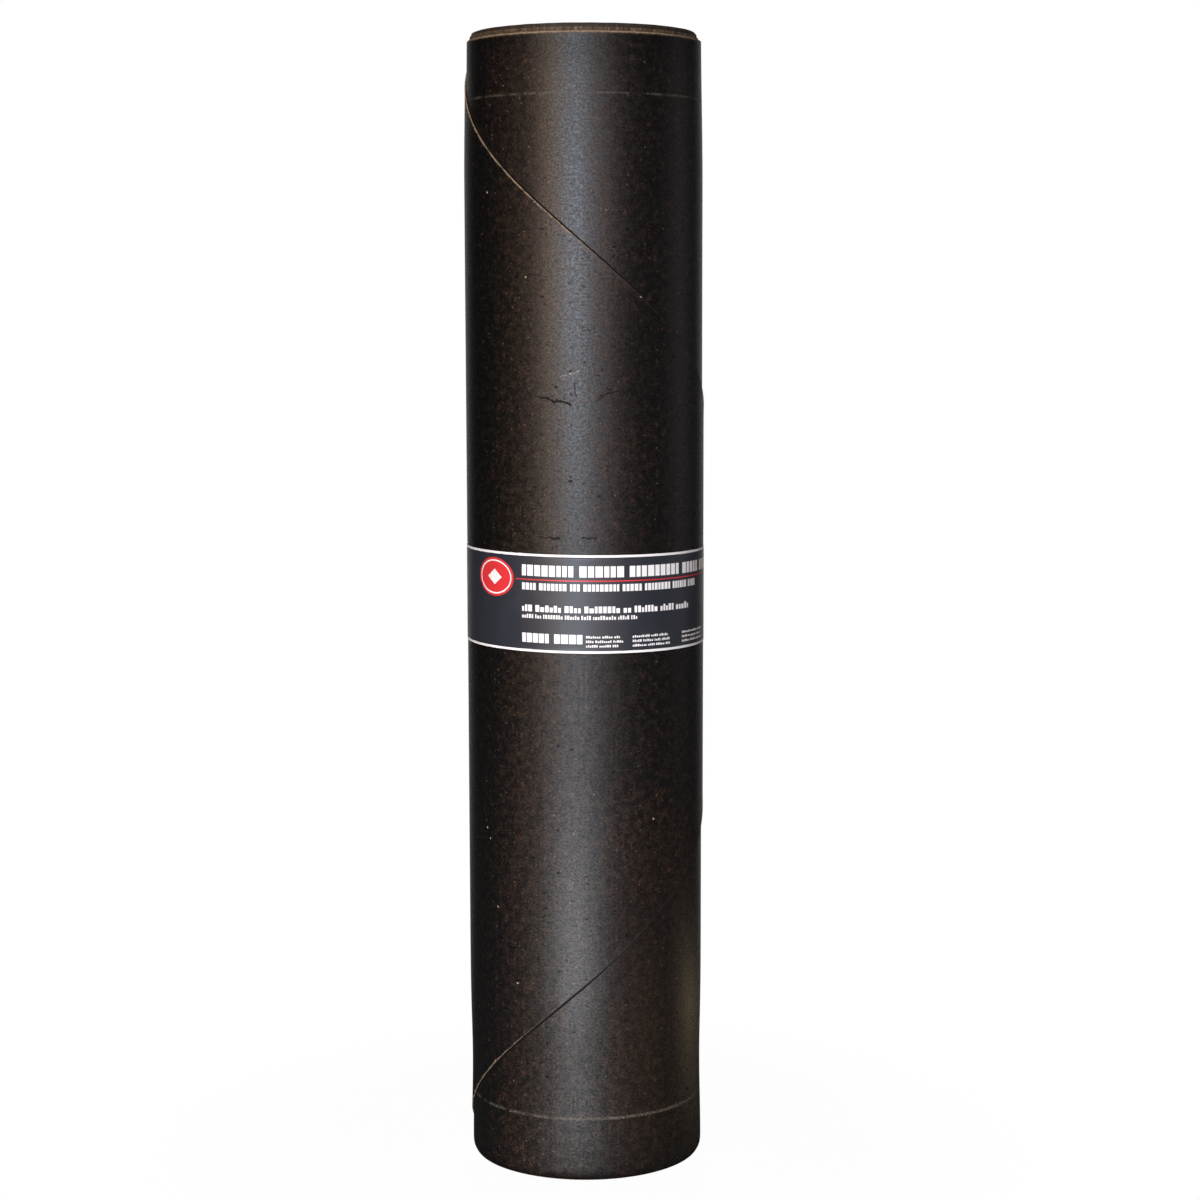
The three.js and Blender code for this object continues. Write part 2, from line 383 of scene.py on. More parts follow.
FELT = (0.0037, 0.0030, 0.0026, 1)
FELT_BROWN = (0.0115, 0.0062, 0.0036, 1)
FELT_BLACK = (0.0018, 0.0017, 0.0017, 1)
FELT_RUST = (0.0400, 0.0170, 0.0090, 1)
FELT_FIBRE = (0.0800, 0.0600, 0.0420, 1)
FELT_CUT = (0.1300, 0.0820, 0.0430, 1)
FELT_CUT_DARK = (0.0240, 0.0160, 0.0100, 1)
FELT_CUT_PALE = (0.3400, 0.2400, 0.1500, 1)
# Black for the cut edges of the sooty turns, and as painted shade on the mitres' edges towards the right.
FELT_CUT_SOOT_AND_SHADE = (0.0130, 0.0065, 0.0046, 1)
CHALK = (0.1300, 0.1120, 0.0880, 1)
FLECK = (0.4500, 0.3700, 0.2700, 1)
# Specks, each by the spacing of the places for them, their radius, and the share of places that have one.
PITS = (0.0029, 0.0009, 0.34)
LARGE_PITS = (0.0067, 0.0013, 0.20)
FINE_PITS = (0.0023, 0.0008, 0.45)
RUST = (0.0034, 0.0011, 0.40)
LARGE_RUST = (0.0071, 0.0026, 0.45)
FIBRES = (0.0041, 0.0007, 0.22)
LINT = (0.017, 0.0009, 0.25)
# Heights on the sheet: from the first of each two, which has none of it, to the second, which has all.
OPEN_PORES = (0.52, 0.24)
PITS_TOP, PITS_FOOT = (0.86, 0.76), (0.03, 0.06)
RIM_TOP, RIM_FOOT = (SHEET_WIDTH - 0.013, SHEET_WIDTH - 0.005), (0.009, 0.003)
DULL_TOP, DULL_FOOT = (0.880, 0.900), (0.0035, 0.0010)
# The painted shadow line that the tail's mitred edges cast on the turn below.
TAIL_SHADOW = (0.0004, 0.0004, 0.0005)  # how far off the mitre, half the width and the blur
TAIL_SHADOW_LOWER = (0.0007, 0.0005, 0.0006)
CRACK_BLUR = 0.0016
SCRATCH_BLUR = 0.0005
FLECKS = (  # pale chips of fibre: azimuth, height and radius
    (-51.4, 0.7930, 0.0011),
    (-27.7, 0.7263, 0.0009),
    (27.4, 0.7112, 0.0013),
    (34.2, 0.2950, 0.0011),
    (-34.4, 0.1601, 0.0011),
    (-50.3, 0.0898, 0.0014),
    (-54.9, 0.2833, 0.0012),
    (-52.4, 0.2750, 0.0011),
    (-46.9, 0.2200, 0.0010),
    (-13.9, 0.1409, 0.0009),
    (-35.3, 0.0658, 0.0010),
    (11.4, 0.8683, 0.0011),
)
STAINS = (  # browner patches: azimuth, height, radius and strength
    (14.0, 0.757, 0.036, 0.9),
    (24.0, 0.728, 0.022, 0.7),
    (-46.0, 0.560, 0.045, 0.8),
    (-38.0, 0.680, 0.040, 0.6),
    (20.0, 0.585, 0.035, 0.5),
    (28.0, 0.270, 0.060, 0.6),
    (16.0, 0.120, 0.040, 0.7),
    (48.0, 0.045, 0.050, 0.9),
)
SCRATCHES_AND_HIGHLIGHT = (  # azimuth and height of both ends, half the width, and how bright the scratch is
    (-10.8, 0.6488, -1.9, 0.6532, 0.0003, 1.0),
    # This one is partly the frayed corner's pale fibre and partly a painted highlight on its lifted edge.
    (-16.2, 0.1400, -12.6, 0.1452, 0.0004, 0.6),
    (-1.8, 0.4190, -1.3, 0.3950, 0.0004, 0.15),
    (1.0, 0.4175, 0.7, 0.3830, 0.0004, 0.15),
)
CRACKS = (  # the same, where the last number is how deep the crack is
    (-23.7, 0.6338, -20.4, 0.6329, 0.0002, 0.7),
    (-20.4, 0.6329, -16.5, 0.6316, 0.0003, 0.8),
    (-16.5, 0.6316, -13.2, 0.6291, 0.0004, 0.85),
    (-12.5, 0.6305, -9.0, 0.6293, 0.0003, 0.85),
    (-9.0, 0.6293, -5.8, 0.6266, 0.0002, 0.75),
    (-4.4, 0.6434, -3.7, 0.6340, 0.0001, 0.65),
    (6.6, 0.6309, 10.3, 0.6356, 0.0001, 0.7),
    (10.3, 0.6356, 15.9, 0.6374, 0.0002, 0.75),
    (10.8, 0.6394, 13.1, 0.6386, 0.0002, 0.75),
    (-22.5, 0.5230, -16.0, 0.5226, 0.0002, 0.7),
    (-16.0, 0.5226, -11.4, 0.5222, 0.0004, 0.8),
    (-1.0, 0.5224, 5.7, 0.5226, 0.0003, 0.7),
)


def on_sheet(azimuth, height):
    """A place on the last turn's face, in the sheet's own coordinates."""
    return (left_to_tip(turn_at(azimuth)), height)


def strokes(sheet, lines, blur):
    """A mask of lines on the sheet, each as strong as its last number."""
    mask = None
    for azimuth, height, end_azimuth, end_height, reach, strength in lines:
        ends = on_sheet(azimuth, height), on_sheet(end_azimuth, end_height)
        line = sheet.stroke(*ends, reach, blur) * strength
        mask = line if mask is None else mask.either(line)
    return mask


def on_both_turns(sheet, azimuth, reach):
    """A mask of an upright stretch of the last turn and of the one below it."""
    along, middle = sheet.part(0), left_to_tip(turn_at(azimuth))
    last = along.near(middle, reach, STRETCH_BLUR)
    return last.either(along.near(middle + TURN_LENGTH, reach, STRETCH_BLUR))


def tail_shadow(up, wound, upper):
    """A mask of the black line of painted shadow that the tail's mitred edges cast on the turn below, which
    runs where that turn is TIP_WIDTH / 2 + s MITRE_SLOPE from its middle, s being the length on from under
    the tip. The line is wider under the lower mitre."""
    reach = (wound - 1) * (TURN_LENGTH * MITRE_SLOPE) + TIP_WIDTH / 2
    off_tail = (abs(up - SHEET_MIDDLE) - reach) * cos(radians(MITRE_ANGLE))
    line = off_tail.near(*TAIL_SHADOW).either(off_tail.near(*TAIL_SHADOW_LOWER) * (1 - upper))
    return line * wound.rising(1.0, 1.001)


def cut_paper(sheet, wound, mitred, upper):
    """The colour of a cut edge: brown fibre with pale streaks, and pale all along the outer turns, partly as
    a painted highlight where their rim catches the light. It is black on the sooty turns, and painted black
    as shade on the mitres towards the right."""
    along = sheet.part(0)
    end_grain = sheet.stretched((1, 0.15, 0)).noise(0.0026, 4, 0.75)
    broad = sheet.stretched((1, 0, 0)).noise(0.05, 3, 0.6)
    streaks = end_grain.rising(0.56, 0.72) * broad.rising(0.40, 0.62)
    colour = end_grain.rising(0.34, 0.66).tint(FELT_CUT_DARK, FELT_CUT)
    # The outer turns' cut edges are paler, partly from the cut fibre and partly as a painted highlight where
    # their rim catches the light.
    pale_streaks_and_lit_rim = streaks.either(wound.rising(SHOWN_TURNS + 0.10, SHOWN_TURNS - 0.05) * 0.7)
    colour = pale_streaks_and_lit_rim.tint(colour, FELT_CUT_PALE)
    # The mitres' cut edges turn black towards the right as painted shade; the lower one is partly shaded all
    # along.
    lit_upper_mitre, lit_lower_mitre = (
        along.rising(*(left_to_tip(turn_at(azimuth)) for azimuth in ends))
        for ends in (LIT_UPPER_MITRE, LIT_LOWER_MITRE)
    )
    lit_mitre = lit_upper_mitre * upper + lit_lower_mitre * (1 - upper) * 0.65
    sooty = wound.near(SOOTY_TURN, 1.0, 0.6) * 0.8
    return (mitred * (1 - lit_mitre)).either(sooty).tint(colour, FELT_CUT_SOOT_AND_SHADE)


def felt_material():
    """Asphalt has soaked into the felt unevenly, so it is mottled brown and black, with pits and pale fibres.
    An upright brown stretch just left of the sheen is painted warm light, and a blacker one by the left edge
    is painted shade. The felt is darker and duller near its top and its foot, and a black line of painted
    shadow lies on the turn below along the tail's mitred edges. The cut edges show the brown paper fibre. The
    felt's skin has a dull sheen, and its open pores and pits have none, so they are a second, matte black
    shader that is mixed in."""
    material, start = new_material("felt")
    sheet = start.node("UVMap", {"uv_map": "sheet"}, {})
    up = sheet.part(1)
    cut = start.node("Attribute", {"attribute_name": "cut"}, {}, 2)
    wound = start.node("Attribute", {"attribute_name": "wound"}, {}, 2)
    upper = up.rising(SHEET_MIDDLE - 0.01, SHEET_MIDDLE + 0.01)
    lower = up.rising(*OPEN_PORES)

    # How the felt is uneven, from its grain to the way the asphalt soaked in.
    crooked = sheet.swayed(0.004, 0.0007)
    flattened = crooked.stretched((0.6, 1, 1))
    grain = sheet.stretched((0.7, 1, 1)).noise(0.0020, 2, 0.7).rising(0.28, 0.72)
    lumps = sheet.noise(0.0064, 3, 0.65).rising(0.32, 0.68)
    tufts = sheet.noise(0.011, 2, 0.6)
    cloud = sheet.noise(0.018, 4, 0.6)
    soak = sheet.noise(0.17, 3, 0.55)
    machine = sheet.stretched((0.08, 1, 1)).noise(0.0024, 3, 0.6)
    pitted = up.rising(*PITS_TOP) * up.rising(*PITS_FOOT) * 0.55 + 0.45
    pits = (flattened.specks(*PITS) * 0.75).either(flattened.specks(*LARGE_PITS) * 0.95)
    pits = pits * (cloud.rising(0.35, 0.62) * 0.7 + 0.3) * pitted
    # The upright stretches are painted light and painted shade; the stains added to them are real browner
    # patches.
    stains_and_painted_light, painted_shade = (on_both_turns(sheet, *stretch) for stretch in (PAINTED_LIGHT_STRETCH, PAINTED_SHADE_STRETCH))
    for azimuth, height, radius, strength in STAINS:
        stains_and_painted_light = stains_and_painted_light.either(sheet.spot(on_sheet(azimuth, height), radius) * strength)

    # The colours of the face.
    brown = (cloud * 0.34 + soak * 0.36 + lumps * 0.28 + stains_and_painted_light * 0.32 - painted_shade * 0.3).rising(0.48, 0.92)
    colour = brown.tint(FELT, FELT_BROWN)
    colour = (pits * 0.8).tint(colour, FELT_BLACK)
    rusty = crooked.specks(*RUST).either(crooked.specks(*LARGE_RUST) * 0.7)
    rusty = rusty * tufts.rising(0.44, 0.64) * (0.7 + stains_and_painted_light * 0.3 - painted_shade * 0.5)
    colour = rusty.tint(colour, FELT_RUST)
    fibres = crooked.specks(*FIBRES) * (0.25 + stains_and_painted_light * 0.65)
    colour = fibres.either(sheet.specks(*LINT)).tint(colour, FELT_FIBRE)
    colour = colour.times(0.35 + grain * 0.60 + lumps * 0.50 + machine * 0.16 - painted_shade * 0.3)

    # What lies on it: dark rims, the painted shadow under the tail, chalk lines, scratches, cracks and chips.
    # The felt is darker within a band at its top and at its foot.
    rim = up.rising(*RIM_TOP).either(up.rising(*RIM_FOOT) * 0.6)
    colour = colour.times(1 - rim * 0.5)
    # A black line of painted shadow along the tail's mitred edges, on the turn below.
    tail_shadow_line = tail_shadow(up, wound, upper)
    lines = [up.near(height, CHALK_WIDTH / 2, blur) * strength for height, blur, strength in LAY_LINES]
    rubbed = sheet.noise(0.012, 4, 0.7).rising(0.34, 0.54)
    chalk = lines[0].either(lines[1]) * rubbed * (0.35 + grain * 0.65) * 0.75
    crack_and_lit_rim = strokes(crooked, CRACKS, CRACK_BLUR)
    crack = crack_and_lit_rim.rising(0.45, 0.80)
    colour = chalk.either(strokes(crooked, SCRATCHES_AND_HIGHLIGHT, SCRATCH_BLUR)).tint(colour, CHALK)
    # A rust-brown halo round each crack: partly the lifted edges' own colour, partly a painted highlight on
    # them.
    colour = (crack_and_lit_rim * 0.6).tint(colour, FELT_RUST)
    colour = (crack * 0.8).either(tail_shadow_line * 0.9).tint(colour, FELT_BLACK)
    for azimuth, height, radius in FLECKS:
        colour = sheet.spot(on_sheet(azimuth, height), radius).tint(colour, FLECK)

    # The cut edges, which are ragged on the mitres.
    off_end = SHEET_MIDDLE - abs(up - SHEET_MIDDLE)
    mitred = wound.rising(1.10, 1.05) * off_end.rising(0.004, 0.012)
    ragged = sheet.noise(0.009, 3, 0.7).rising(0.36, 0.62)
    broken = mitred * (grain * 0.3 + ragged * 0.7 - 0.45 - (1 - upper) * 0.15)
    worn_edge = cut * (0.80 + grain * 0.3 + broken)
    colour = worn_edge.rising(0.25, 0.75).tint(colour, cut_paper(sheet, wound, mitred, upper))

    # The gloss, the relief and the open pores.
    roughness = 0.38 + grain * 0.08 + lumps * 0.06 + lower * 0.02 + cut.rising(0.2, 0.8) * 0.25
    relief = grain * 0.16 + lumps * 0.4 + cloud * 0.6 + machine * 0.22
    relief = relief - pits * 0.3 - crack * 2.0 - tail_shadow_line * 2.0
    skin = {
        "Base Color": colour,
        "Roughness": roughness + chalk * 0.2 + tail_shadow_line * 0.3 + crack * 0.25,
        "Normal": start.node("Bump", {}, {"Height": relief, "Distance": 0.00010, "Strength": 1.0}),
    }
    fuzz = sheet.stretched((0.8, 1, 1)).noise(0.0015, 1, 0.5).rising(0.62, 0.36)
    pores = fuzz * (0.30 + lower * 0.05) + (1 - lumps) * (0.13 + lower * 0.06)
    pores = pores.either(flattened.specks(*FINE_PITS) * lower * 0.6)
    dull_ends = up.rising(*DULL_TOP) * 0.12 + up.rising(*DULL_FOOT) * 0.5
    pores = (pits * 0.85).either(pores) + dull_ends
    pores = pores.either(crack * 0.6).either(tail_shadow_line * 0.8) * (1 - cut)
    matte = {"Base Color": FELT_BLACK, "Roughness": 1.0, "Specular IOR Level": 0.1}
    shaders = [start.node("BsdfPrincipled", {}, values) for values in (skin, matte)]
    shader_output(start, start.node("MixShader", {}, {0: pores, 1: shaders[0], 2: shaders[1]}))
    return material


felt = felt_material()
roll_face = outer_turns()
roll_face.data.materials.append(felt)
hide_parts("felt_roll")
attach(roll_face, "root")

# ---- The ends and the bore ----
# The edges of all the turns make the roll's two ends. The sheet wandered a little as it was wound, so the
# inner turns stand above the outer ones at the top, and as far over the floor at the foot. There is no core.

END_STATIONS = 120  # round one turn
BORE_ROWS = 40
END_BEVEL = 0.00022  # how far the corner of an edge is rounded on the ply's outer side
END_FRAY = 0.00008


def wound_end(name, upper):
    """The edges of the inner turns, as a spiral strip. Its section starts in the groove on the ply's inner
    side, runs over the edge and down the outer face, and ends in the next groove. Its points lie at
    BORE_RADIUS + (turn + their share of the ply) PLY."""
    count = round((TURNS - SHOWN_TURNS) * END_STATIONS) + 1
    turn = np.linspace(0, TURNS - SHOWN_TURNS, count)[:, None]
    end = 1 if upper else 0
    inward = -1 if upper else 1
    edge = sheet_edges(turn)[end]
    before, after = groove_floors(turn - 1)[end], groove_floors(turn)[end]
    gap = GAP * (1 + 0.5 * wander(6, 0.9, turn))
    edge = edge + END_FRAY * wander(7, 0.031, turn)
    share = [0 * turn, gap, gap, gap + 0.14, 0.80 + 0 * turn, 1 + 0 * turn, 1 + 0 * turn]
    height = [before, before, edge + inward * BEVEL, edge, edge, edge + inward * END_BEVEL, after]
    cut = np.array([0, 0, 0.7, 1, 1, 0.85, 0.45])[None, :] + 0 * turn
    share, height = np.hstack(share), np.hstack(height)
    height = np.vstack([0 * height[:1] + before[0], height])
    share, cut, turn = (np.vstack([values[:1], values]) for values in (share, cut, turn))
    if upper:
        share, height, cut = share[:, ::-1], height[:, ::-1], cut[:, ::-1]
    points = placed(BORE_RADIUS + (turn + share) * PLY, azimuth_of(turn), height)
    sheet = np.stack([left_to_tip(turn) + 0 * height, height - edge_lift(turn)], -1)
    return add_grid(name, points, sheet, {"cut": cut, "wound": TURNS - turn + 0 * cut})


def bore_wall():
    """The first turn's inner face, at BORE_RADIUS + turn PLY. Its last section is its first one again, which
    closes the step at the sheet's inner end."""
    turn = np.append(np.linspace(0, 1, END_STATIONS + 1), 0)[:, None]
    low, high = groove_floors(turn - 1)
    height = high + np.linspace(0, 1, BORE_ROWS)[None, :] * (low - high)
    sheet = np.stack([left_to_tip(turn) + 0 * height, height - edge_lift(turn)], -1)
    return add_grid("bore_wall", placed(BORE_RADIUS + turn * PLY, azimuth_of(turn), height), sheet)


for piece in (wound_end("upper_end", True), wound_end("lower_end", False), bore_wall()):
    piece.data.materials.append(felt)
    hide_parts("felt_roll")
    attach(piece, "root")

# ---- The paper band ----
# A strip of smooth printed paper is pulled tight round the middle, a little askew, and its end is glued over
# its start at the back. Its ground is dark slate, with a plain pale stripe along each edge.

BAND_WIDTH = 0.078
BAND_RAISE = 0.013
BAND_SEAT = 0.00013  # from the felt to the paper
BAND_PAPER = 0.00020
BAND_SKEW = 0.001
LAP_AZIMUTH = 205.0
LAP_LENGTH = 0.030
LAP_ANGLE = 360 * LAP_LENGTH / TURN_LENGTH
LAP_STEP = 0.05  # the angle over which the outer face steps out and in
BAND_ROWS = 21
BELOW_TIP = ROLL_RADIUS - PLY
BRIDGE_ANGLE = degrees(acos(BELOW_TIP / ROLL_RADIUS))
SLATE = (0.0225, 0.0257, 0.0335, 1)
SLATE_WORN = (0.0310, 0.0345, 0.0420, 1)
PAPER_ROUGHNESS = 0.34


def band_seat(azimuth):
    """The radius of the paper's inner face. Past the tip it runs straight off the tip's corner to where it
    touches the turn below, at BELOW_TIP / cos of the angle left, and then it climbs by PLY a turn."""
    past = (azimuth - TIP_AZIMUTH) % 360
    bridge = BELOW_TIP / np.cos(np.radians(np.minimum(BRIDGE_ANGLE - past, BRIDGE_ANGLE)))
    return np.where(past < BRIDGE_ANGLE, bridge, BELOW_TIP + PLY * past / 360) + BAND_SEAT


def band_top(azimuth):
    """The height of the band's upper edge, which sits low on the right and high on the left."""
    return SHEET_MIDDLE + BAND_RAISE - BAND_SKEW * np.sin(np.radians(azimuth)) + BAND_WIDTH / 2


def band_face(azimuth):
    """The radius of the paper's outer face, which is one more thickness of paper out over the lap."""
    past = (azimuth - LAP_AZIMUTH) % 360
    lapped = (past > LAP_STEP / 2) & (past < LAP_ANGLE + LAP_STEP / 2)
    return band_seat(azimuth) + BAND_PAPER * (1 + lapped)


def paper_band():
    """A closed ring of upright sections, each a thin rectangle from the paper's inner face to its outer one.
    The lap's two steps are narrow slopes."""
    steps = [LAP_AZIMUTH + angle for angle in (0, LAP_STEP, LAP_ANGLE, LAP_ANGLE + LAP_STEP)]
    marks = [TIP_AZIMUTH, TIP_AZIMUTH + BRIDGE_ANGLE, *steps]
    even = TIP_AZIMUTH + np.linspace(0, 360, STATIONS, endpoint=False)
    azimuth = np.unique(np.append(even, marks))[:, None]
    top = band_top(azimuth)
    inner, outer = band_seat(azimuth), band_face(azimuth)
    down = np.linspace(1, 0, BAND_ROWS)[None, :] * BAND_WIDTH
    height = np.hstack([top - BAND_WIDTH, top - BAND_WIDTH, top - down, top, top])
    radius = np.hstack([inner, outer, outer + 0 * down, outer, inner])
    height = np.hstack([height, height[:, :1]])
    radius = np.hstack([radius, radius[:, :1]])
    points = placed(radius, azimuth, height)
    sheet = np.stack([np.radians(azimuth) * ROLL_RADIUS + 0 * height, height - top + BAND_WIDTH], -1)
    return add_grid("paper_band", points, sheet, ring=True)


def paper_material(name, ground, worn, roughness):
    """Smooth coated paper, faintly cockled where it was glued and scuffed where it was handled."""
    material, start = new_material(name)
    place = start.node("TexCoord", {}, {}, 3)
    scuff = place.node("TexNoise", {}, {"Vector": place, "Scale": 55.0, "Detail": 4.0, "Roughness": 0.65})
    fibre = place.node("TexNoise", {}, {"Vector": place, "Scale": 1100.0, "Detail": 2.0, "Roughness": 0.6})
    upright = place.stretched((1, 1, 0.35))
    cockle = upright.node("TexNoise", {}, {"Vector": upright, "Scale": 38.0, "Detail": 1.0})
    colour = (scuff.rising(0.50, 0.72) * fibre.rising(0.35, 0.65)).tint(ground, worn)
    relief = cockle * 0.8 + fibre * 0.2
    bumped = start.node("Bump", {}, {"Height": relief, "Distance": 0.00035, "Strength": 0.5})
    surface = {
        "Base Color": colour.times(0.90 + fibre * 0.2),
        "Roughness": roughness + scuff * 0.20,
        "Normal": bumped,
    }
    shader_output(start, start.node("BsdfPrincipled", {}, surface))
    return material


band = paper_band()
band.data.materials.append(paper_material("slate_paper", SLATE, SLATE_WORN, PAPER_ROUGHNESS))
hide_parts("paper_band")
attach(band, "root")

# ---- The print on the band ----
# The band is printed in white and red: a stripe along each edge, an oval badge with a ring and a lozenge, a
# rule, and rows of plain blocks where a label has its lines. There is no lettering.

INK_LIFT = 0.00004  # the thickness of one layer of ink
INK_ROUGHNESS = 0.30
INK_STEP = 1.5  # the widest quad of ink, in degrees
OVAL_COLUMNS = 49
OVAL_ROWS = 5
RING_POINTS = 96
STRIPE_WIDTH = 0.0019
DEGREE = pi / 180 * (ROLL_RADIUS - 0.0003)  # round the band's face
WHITE = (0.88, 0.88, 0.87, 1)
WHITE_WORN = (0.74, 0.74, 0.73, 1)
RED = (0.70, 0.035, 0.040, 1)
RED_WORN = (0.52, 0.030, 0.034, 1)
ROWS = (  # first azimuth, distance down, height, block, gap, blocks in each word, share of low blocks
    (-30.5, 0.0088, 0.0088, 0.0046, 0.0011, [8, 6, 9, 5, 7], 0.0),
    (-30.5, 0.0231, 0.0056, 0.0025, 0.0008, [4, 7, 3, 9, 5, 8, 6, 4], 0.0),
    (-30.5, 0.0406, 0.0053, 0.0026, 0.0009, [3, 6, 4, 8, 2, 7, 5, 5], 0.5),
    (-30.5, 0.0480, 0.0032, 0.0013, 0.0007, [5, 3, 8, 6, 4, 9, 5, 3], 0.5),
    (-30.5, 0.0632, 0.0074, 0.0044, 0.0009, [5, 4], 0.0),
)
SMALL_ROWS = (  # the first azimuth of a column, and the blocks in each word of its three lines
    (0.7, ([7, 5, 3], [4, 8, 5], [6, 6, 3])),
    (23.0, ([9, 4, 6], [5, 6, 4, 5], [8, 4, 5, 3])),
    (53.0, ([8, 6, 7], [5, 9, 6], [7, 7, 8])),
)
SMALL_DOWN = 0.0640  # to the first of the three lines, and from each to the next
SMALL_PITCH = 0.0036
SMALL_BLOCK = (0.0019, 0.0012, 0.0005)  # height, block and gap
SMALL_LOW = 0.4  # the share of low blocks
RULE = (-34.0, 76.0, 0.0201, 0.0209)  # first and last azimuth, and the distance down to its top and foot
BADGE_PLACE = (-47.5, 0.0206)  # azimuth and distance down
BADGE = (0.0420, 0.0310)  # width and height
BADGE_RING = (0.0375, 0.0275, 0.0012)  # the same, and the line's width
BADGE_LOZENGE = (0.0170, 0.0125)


def row_of_blocks(start, down, height, block, gap, words, low):
    """Blocks for a row's words, each as (first azimuth, last azimuth, top, foot), with the last two in metres
    below the band's upper edge. A block is 0.7 to 1.3 times as wide as given, and some, by the share low, are
    0.72 times as tall. The next one starts a gap further on, and the next word 0.8 blocks further. Each row
    has its own random numbers, by how far down it is."""
    chance = np.random.default_rng(round(1e4 * down))
    blocks = []
    place = start
    for word in words:
        for width in block * chance.uniform(0.7, 1.3, word):
            top = down + (0.28 * height if chance.random() < low else 0)
            blocks.append((place, place + width / DEGREE, top, down + height))
            place += (width + gap) / DEGREE
        place += 0.8 * block / DEGREE
    return blocks


def blocks_in_steps(blocks):
    """The blocks cut into pieces no wider than INK_STEP, so that they follow the band's curve."""
    cut = []
    for first, last, top, foot in blocks:
        sides = np.linspace(first, last, max(1, int(np.ceil((last - first) / INK_STEP))) + 1)
        cut += [(a, b, top, foot) for a, b in zip(sides[:-1], sides[1:])]
    return np.array(cut)


def print_blocks(name, blocks):
    """Ink over the paper: a quad for each piece of a block."""
    first, last, top, foot = blocks_in_steps(blocks).T
    azimuth = np.stack([first, last, last, first], -1)
    down = np.stack([foot, foot, top, top], -1)
    radius = band_face(azimuth) + INK_LIFT
    points = placed(radius, azimuth, band_top(azimuth) - down)
    return add_quads(name, points.reshape(-1, 3), np.arange(azimuth.size).reshape(-1, 4))


def print_shape(name, middle, down, width, height, power, lift=INK_LIFT):
    """A patch of ink as a grid: each of its columns is as tall as the shape is there,
    height (1 - |x|^power)^(1 / power), where x runs from -1 to 1 across its width. Power 2 is an oval and
    power 1 a lozenge."""
    x = np.cos(np.linspace(pi, 0, OVAL_COLUMNS))[:, None]
    half = height / 2 * (1 - np.abs(x) ** power) ** (1 / power)
    azimuth = middle + x * width / 2 / DEGREE
    below = down + half * np.linspace(1, -1, OVAL_ROWS)[None, :]
    radius = band_face(azimuth) + lift
    return add_grid(name, placed(radius, azimuth, band_top(azimuth) - below))


def print_ring(name, middle, down, width, height, line):
    """An oval line of ink: points at (width cos t, height sin t) / 2 on its outer side, and the same oval
    made smaller by the line on its inner side."""
    turned = np.linspace(0, 2 * pi, RING_POINTS, endpoint=False)[:, None]
    inset = np.array([0, 2 * line])[None, :]
    azimuth = middle + (width - inset) / 2 * np.cos(turned) / DEGREE
    below = down - (height - inset) / 2 * np.sin(turned)
    radius = band_face(azimuth) + 2 * INK_LIFT
    return add_grid(name, placed(radius, azimuth, band_top(azimuth) - below), ring=True)


around = (LAP_AZIMUTH - 360 + LAP_ANGLE + LAP_STEP, LAP_AZIMUTH - LAP_STEP)
over_lap = (LAP_AZIMUTH + LAP_STEP, LAP_AZIMUTH + LAP_ANGLE)
white_blocks = []
for part in (around, over_lap):
    white_blocks += [(*part, 0.0, STRIPE_WIDTH), (*part, BAND_WIDTH - STRIPE_WIDTH, BAND_WIDTH)]
for row in ROWS:
    white_blocks += row_of_blocks(*row)
for azimuth, rows in SMALL_ROWS:
    for line, words in enumerate(rows):
        down = SMALL_DOWN + SMALL_PITCH * line
        white_blocks += row_of_blocks(azimuth, down, *SMALL_BLOCK, words, SMALL_LOW)
white_pieces = [
    print_blocks("white_print", white_blocks),
    print_ring("badge_ring", *BADGE_PLACE, *BADGE_RING),
    print_shape("badge_lozenge", *BADGE_PLACE, *BADGE_LOZENGE, 1, 2 * INK_LIFT),
]
red_pieces = [
    print_blocks("red_rule", [RULE]),
    print_shape("badge", *BADGE_PLACE, *BADGE, 2),
]
white_ink = paper_material("white_ink", WHITE, WHITE_WORN, INK_ROUGHNESS)
red_ink = paper_material("red_ink", RED, RED_WORN, INK_ROUGHNESS)
for pieces, ink in ((white_pieces, white_ink), (red_pieces, red_ink)):
    for piece in pieces:
        piece.data.materials.append(ink)
        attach(piece, "root")

# ---- The floor, the light and the camera ----
# The roll stands on a plain pale floor in a white room. A cool softbox beside the camera makes the sheen down
# its front, warm ones on both sides fill in, one hangs overhead and one lights the back. Small lamps near the
# foot stand for the light that the floor throws on it.

